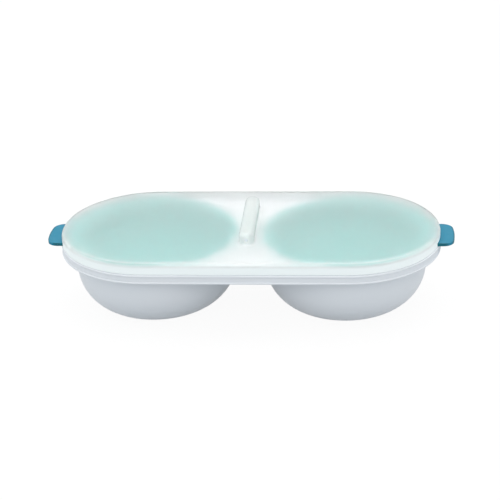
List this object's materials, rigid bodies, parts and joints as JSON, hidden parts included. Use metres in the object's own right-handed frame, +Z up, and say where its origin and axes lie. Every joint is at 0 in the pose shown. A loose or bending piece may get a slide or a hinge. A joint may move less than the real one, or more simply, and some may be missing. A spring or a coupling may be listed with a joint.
{
  "type": "microwave egg cooker",
  "caption": "Oblong microwave egg cooker: white tray with round water bowls, lift-out teal egg cups with thumb tabs, and a frosted lid with a raised grip.",
  "frame": {"origin": "on the table, under the middle of the tray", "axes": "+X to the right along the tray's length, +Y to the back, +Z up"},
  "size_m": [0.2256, 0.102, 0.0525],
  "materials": {
    "tray_white": "white polypropylene, satin moulded surface",
    "cup_teal": "teal polypropylene, satin moulded surface",
    "lid_frosted": "frosted translucent polypropylene with a faint mint tint"
  },
  "bodies": {
    "root": {"tray": "tray_white", "cup_left": "cup_teal", "cup_right": "cup_teal", "lid": "lid_frosted"}
  },
  "joints": []
}
